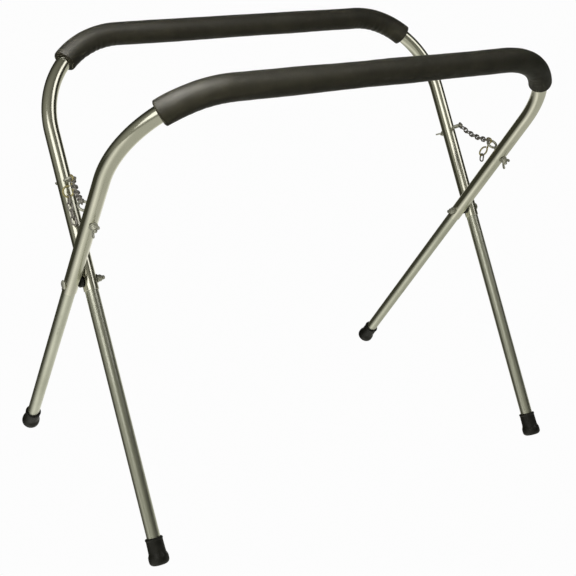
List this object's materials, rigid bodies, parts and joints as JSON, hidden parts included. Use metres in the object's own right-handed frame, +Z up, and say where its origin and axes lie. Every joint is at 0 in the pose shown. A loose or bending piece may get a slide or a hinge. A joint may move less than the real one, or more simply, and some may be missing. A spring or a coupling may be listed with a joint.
{
  "type": "folding padded work stand",
  "caption": "Folding X-frame sawhorse: two crossed bent-tube frames with foam-padded bars, pivot bolts, and limit chains hooked between eye bolts",
  "frame": {"origin": "on the floor, midway between the four feet, under the pivot axis", "axes": "+X along the padded bars to the right, +Y from the front bar to the rear bar, +Z up"},
  "size_m": [1.0132, 0.6036, 0.8727],
  "materials": {
    "bright_tube": "bright plated steel tube, clear reflections, a slight warm cast",
    "satin_tube": "zinc plated steel tube, satin",
    "foam": "closed-cell foam sleeve, near black, matt, fine pores",
    "rubber": "black moulded rubber, semi-matt",
    "plastic": "black nylon spacer",
    "zinc": "zinc plated fasteners, dull",
    "brass": "yellow zinc plated wire, brassy",
    "chain_zinc": "galvanised chain, grey"
  },
  "bodies": {
    "front_frame": {"front_upper_tube": "bright_tube", "front_left_leg": "satin_tube", "front_right_leg": "satin_tube", "front_pad": "foam", "front_left_foot": "rubber", "front_right_foot": "rubber", "front_left_eye_bolt": "zinc", "front_right_eye_bolt": "zinc", "front_left_eye_washer": "zinc", "front_right_eye_washer": "zinc", "left_pivot_bolt": "zinc", "left_pivot_washer": "zinc", "left_pivot_nut": "zinc", "left_pivot_spacer": "plastic"},
    "rear_frame": {"rear_upper_tube": "bright_tube", "rear_left_leg": "satin_tube", "rear_right_leg": "satin_tube", "rear_pad": "foam", "rear_left_foot": "rubber", "rear_right_foot": "rubber", "rear_left_eye_bolt": "zinc", "rear_right_eye_bolt": "zinc", "rear_left_eye_washer": "zinc", "rear_right_eye_washer": "zinc", "right_pivot_bolt": "zinc", "right_pivot_washer": "zinc", "right_pivot_nut": "zinc", "right_pivot_spacer": "plastic"},
    "front_left_wing_nut": {"front_left_wing_nut": "zinc"},
    "front_right_wing_nut": {"front_right_wing_nut": "zinc"},
    "rear_left_wing_nut": {"rear_left_wing_nut": "zinc"},
    "rear_right_wing_nut": {"rear_right_wing_nut": "zinc"},
    "left_chain_link_01": {"left_chain_link_01": "chain_zinc"},
    "left_chain_link_02": {"left_chain_link_02": "chain_zinc"},
    "left_chain_link_03": {"left_chain_link_03": "chain_zinc"},
    "left_chain_link_04": {"left_chain_link_04": "chain_zinc"},
    "left_chain_link_05": {"left_chain_link_05": "chain_zinc"},
    "left_chain_link_06": {"left_chain_link_06": "chain_zinc"},
    "left_chain_link_07": {"left_chain_link_07": "chain_zinc"},
    "left_chain_link_08": {"left_chain_link_08": "chain_zinc"},
    "left_chain_link_09": {"left_chain_link_09": "chain_zinc"},
    "left_chain_link_10": {"left_chain_link_10": "chain_zinc"},
    "left_hook": {"left_hook": "brass", "left_spare_link_1": "chain_zinc", "left_spare_link_2": "chain_zinc", "left_spare_link_3": "chain_zinc", "left_spare_link_4": "chain_zinc"},
    "right_chain_link_01": {"right_chain_link_01": "chain_zinc"},
    "right_chain_link_02": {"right_chain_link_02": "chain_zinc"},
    "right_chain_link_03": {"right_chain_link_03": "chain_zinc"},
    "right_chain_link_04": {"right_chain_link_04": "chain_zinc"},
    "right_chain_link_05": {"right_chain_link_05": "chain_zinc"},
    "right_chain_link_06": {"right_chain_link_06": "chain_zinc"},
    "right_chain_link_07": {"right_chain_link_07": "chain_zinc"},
    "right_chain_link_08": {"right_chain_link_08": "chain_zinc"},
    "right_chain_link_09": {"right_chain_link_09": "chain_zinc"},
    "right_chain_link_10": {"right_chain_link_10": "chain_zinc"},
    "right_hook": {"right_hook": "brass", "right_spare_link_1": "chain_zinc"}
  },
  "joints": [
    {"name": "fold", "type": "hinge", "parent": "front_frame", "child": "rear_frame", "pos_m": [0, 0, 0.45617], "axis": [1, 0, 0], "range_deg": [0, 46], "deforming": ["left_chain_link_01", "left_chain_link_02", "left_chain_link_03", "left_chain_link_04", "left_chain_link_05", "left_chain_link_06", "left_chain_link_07", "left_chain_link_08", "left_chain_link_09", "left_chain_link_10", "left_hook", "left_spare_link_1", "left_spare_link_2", "left_spare_link_3", "left_spare_link_4", "right_chain_link_01", "right_chain_link_02", "right_chain_link_03", "right_chain_link_04", "right_chain_link_05", "right_chain_link_06", "right_chain_link_07", "right_chain_link_08", "right_chain_link_09", "right_chain_link_10", "right_hook", "right_spare_link_1"]},
    {"name": "left_chain_link_01_swing", "type": "hinge", "parent": "front_frame", "child": "left_chain_link_01", "pos_m": [-0.488, -0.06628, 0.63346], "axis": [1, 0, 0], "range_deg": [-209, 0]},
    {"name": "left_chain_link_02_swing", "type": "hinge", "parent": "left_chain_link_01", "child": "left_chain_link_02", "pos_m": [-0.4856, -0.05759, 0.63174], "axis": [1, 0, 0], "range_deg": [0, 92]},
    {"name": "left_chain_link_03_swing", "type": "hinge", "parent": "left_chain_link_02", "child": "left_chain_link_03", "pos_m": [-0.48121, -0.04158, 0.62927], "axis": [1, 0, 0], "range_deg": [0, 49]},
    {"name": "left_chain_link_04_swing", "type": "hinge", "parent": "left_chain_link_03", "child": "left_chain_link_04", "pos_m": [-0.47855, -0.03181, 0.62818], "axis": [1, 0, 0], "range_deg": [0, 8]},
    {"name": "left_chain_link_05_swing", "type": "hinge", "parent": "left_chain_link_04", "child": "left_chain_link_05", "pos_m": [-0.47416, -0.01565, 0.62706], "axis": [1, 0, 0], "range_deg": [0, 39]},
    {"name": "left_chain_link_06_swing", "type": "hinge", "parent": "left_chain_link_05", "child": "left_chain_link_06", "pos_m": [-0.47149, -0.00582, 0.62679], "axis": [1, 0, 0], "range_deg": [0, 77]},
    {"name": "left_chain_link_07_swing", "type": "hinge", "parent": "left_chain_link_06", "child": "left_chain_link_07", "pos_m": [-0.4671, 0.01038, 0.62702], "axis": [1, 0, 0], "range_deg": [0, 51]},
    {"name": "left_chain_link_08_swing", "type": "hinge", "parent": "left_chain_link_07", "child": "left_chain_link_08", "pos_m": [-0.46444, 0.02019, 0.62757], "axis": [1, 0, 0], "range_deg": [0, 15]},
    {"name": "left_chain_link_09_swing", "type": "hinge", "parent": "left_chain_link_08", "child": "left_chain_link_09", "pos_m": [-0.46005, 0.03632, 0.62916], "axis": [1, 0, 0], "range_deg": [0, 43]},
    {"name": "left_chain_link_10_swing", "type": "hinge", "parent": "left_chain_link_09", "child": "left_chain_link_10", "pos_m": [-0.45739, 0.04605, 0.63053], "axis": [1, 0, 0], "range_deg": [0, 66]},
    {"name": "right_chain_link_01_swing", "type": "hinge", "parent": "rear_frame", "child": "right_chain_link_01", "pos_m": [0.488, 0.06628, 0.63346], "axis": [-1, 0, 0], "range_deg": [-209, 0]},
    {"name": "right_chain_link_02_swing", "type": "hinge", "parent": "right_chain_link_01", "child": "right_chain_link_02", "pos_m": [0.4856, 0.05759, 0.63174], "axis": [-1, 0, 0], "range_deg": [0, 92]},
    {"name": "right_chain_link_03_swing", "type": "hinge", "parent": "right_chain_link_02", "child": "right_chain_link_03", "pos_m": [0.48121, 0.04158, 0.62927], "axis": [-1, 0, 0], "range_deg": [0, 49]},
    {"name": "right_chain_link_04_swing", "type": "hinge", "parent": "right_chain_link_03", "child": "right_chain_link_04", "pos_m": [0.47855, 0.03181, 0.62818], "axis": [-1, 0, 0], "range_deg": [0, 8]},
    {"name": "right_chain_link_05_swing", "type": "hinge", "parent": "right_chain_link_04", "child": "right_chain_link_05", "pos_m": [0.47416, 0.01565, 0.62706], "axis": [-1, 0, 0], "range_deg": [0, 39]},
    {"name": "right_chain_link_06_swing", "type": "hinge", "parent": "right_chain_link_05", "child": "right_chain_link_06", "pos_m": [0.47149, 0.00582, 0.62679], "axis": [-1, 0, 0], "range_deg": [0, 77]},
    {"name": "right_chain_link_07_swing", "type": "hinge", "parent": "right_chain_link_06", "child": "right_chain_link_07", "pos_m": [0.4671, -0.01038, 0.62702], "axis": [-1, 0, 0], "range_deg": [0, 51]},
    {"name": "right_chain_link_08_swing", "type": "hinge", "parent": "right_chain_link_07", "child": "right_chain_link_08", "pos_m": [0.46444, -0.02019, 0.62757], "axis": [-1, 0, 0], "range_deg": [0, 15]},
    {"name": "right_chain_link_09_swing", "type": "hinge", "parent": "right_chain_link_08", "child": "right_chain_link_09", "pos_m": [0.46005, -0.03632, 0.62916], "axis": [-1, 0, 0], "range_deg": [0, 43]},
    {"name": "right_chain_link_10_swing", "type": "hinge", "parent": "right_chain_link_09", "child": "right_chain_link_10", "pos_m": [0.45739, -0.04605, 0.63053], "axis": [-1, 0, 0], "range_deg": [0, 66]},
    {"name": "left_hook_swing", "type": "hinge", "parent": "rear_frame", "child": "left_hook", "pos_m": [-0.453, 0.06628, 0.63346], "axis": [1, 0, 0], "range_deg": [-5, 0]},
    {"name": "right_hook_swing", "type": "hinge", "parent": "front_frame", "child": "right_hook", "pos_m": [0.453, -0.06628, 0.63346], "axis": [-1, 0, 0], "range_deg": [-5, 0]},
    {"name": "front_left_wing_nut_spin", "type": "hinge", "parent": "front_frame", "child": "front_left_wing_nut", "pos_m": [-0.488, -0.11366, 0.60305], "axis": [0, -0.8415, -0.5402], "continuous": true},
    {"name": "front_right_wing_nut_spin", "type": "hinge", "parent": "front_frame", "child": "front_right_wing_nut", "pos_m": [0.453, -0.11366, 0.60305], "axis": [0, -0.8415, -0.5402], "continuous": true},
    {"name": "rear_left_wing_nut_spin", "type": "hinge", "parent": "rear_frame", "child": "rear_left_wing_nut", "pos_m": [-0.453, 0.11366, 0.60305], "axis": [0, 0.8415, -0.5402], "continuous": true},
    {"name": "rear_right_wing_nut_spin", "type": "hinge", "parent": "rear_frame", "child": "rear_right_wing_nut", "pos_m": [0.488, 0.11366, 0.60305], "axis": [0, 0.8415, -0.5402], "continuous": true}
  ],
  "couplings": [
    {"joint": "left_chain_link_01_swing", "follows": "fold", "ratio": -4.5059},
    {"joint": "left_chain_link_02_swing", "follows": "fold", "ratio": 1.9764},
    {"joint": "left_chain_link_03_swing", "follows": "fold", "ratio": 1.0267},
    {"joint": "left_chain_link_04_swing", "follows": "fold", "ratio": 0.14191},
    {"joint": "left_chain_link_05_swing", "follows": "fold", "ratio": 0.82337},
    {"joint": "left_chain_link_06_swing", "follows": "fold", "ratio": 1.6354},
    {"joint": "left_chain_link_07_swing", "follows": "fold", "ratio": 1.0687},
    {"joint": "left_chain_link_08_swing", "follows": "fold", "ratio": 0.29473},
    {"joint": "left_chain_link_09_swing", "follows": "fold", "ratio": 0.89344},
    {"joint": "left_chain_link_10_swing", "follows": "fold", "ratio": 1.4005},
    {"joint": "right_chain_link_01_swing", "follows": "fold", "ratio": -4.5059},
    {"joint": "right_chain_link_02_swing", "follows": "fold", "ratio": 1.9764},
    {"joint": "right_chain_link_03_swing", "follows": "fold", "ratio": 1.0267},
    {"joint": "right_chain_link_04_swing", "follows": "fold", "ratio": 0.14191},
    {"joint": "right_chain_link_05_swing", "follows": "fold", "ratio": 0.82337},
    {"joint": "right_chain_link_06_swing", "follows": "fold", "ratio": 1.6354},
    {"joint": "right_chain_link_07_swing", "follows": "fold", "ratio": 1.0687},
    {"joint": "right_chain_link_08_swing", "follows": "fold", "ratio": 0.29473},
    {"joint": "right_chain_link_09_swing", "follows": "fold", "ratio": 0.89344},
    {"joint": "right_chain_link_10_swing", "follows": "fold", "ratio": 1.4005},
    {"joint": "left_hook_swing", "follows": "fold", "ratio": -0.08696},
    {"joint": "right_hook_swing", "follows": "fold", "ratio": -0.08696}
  ]
}
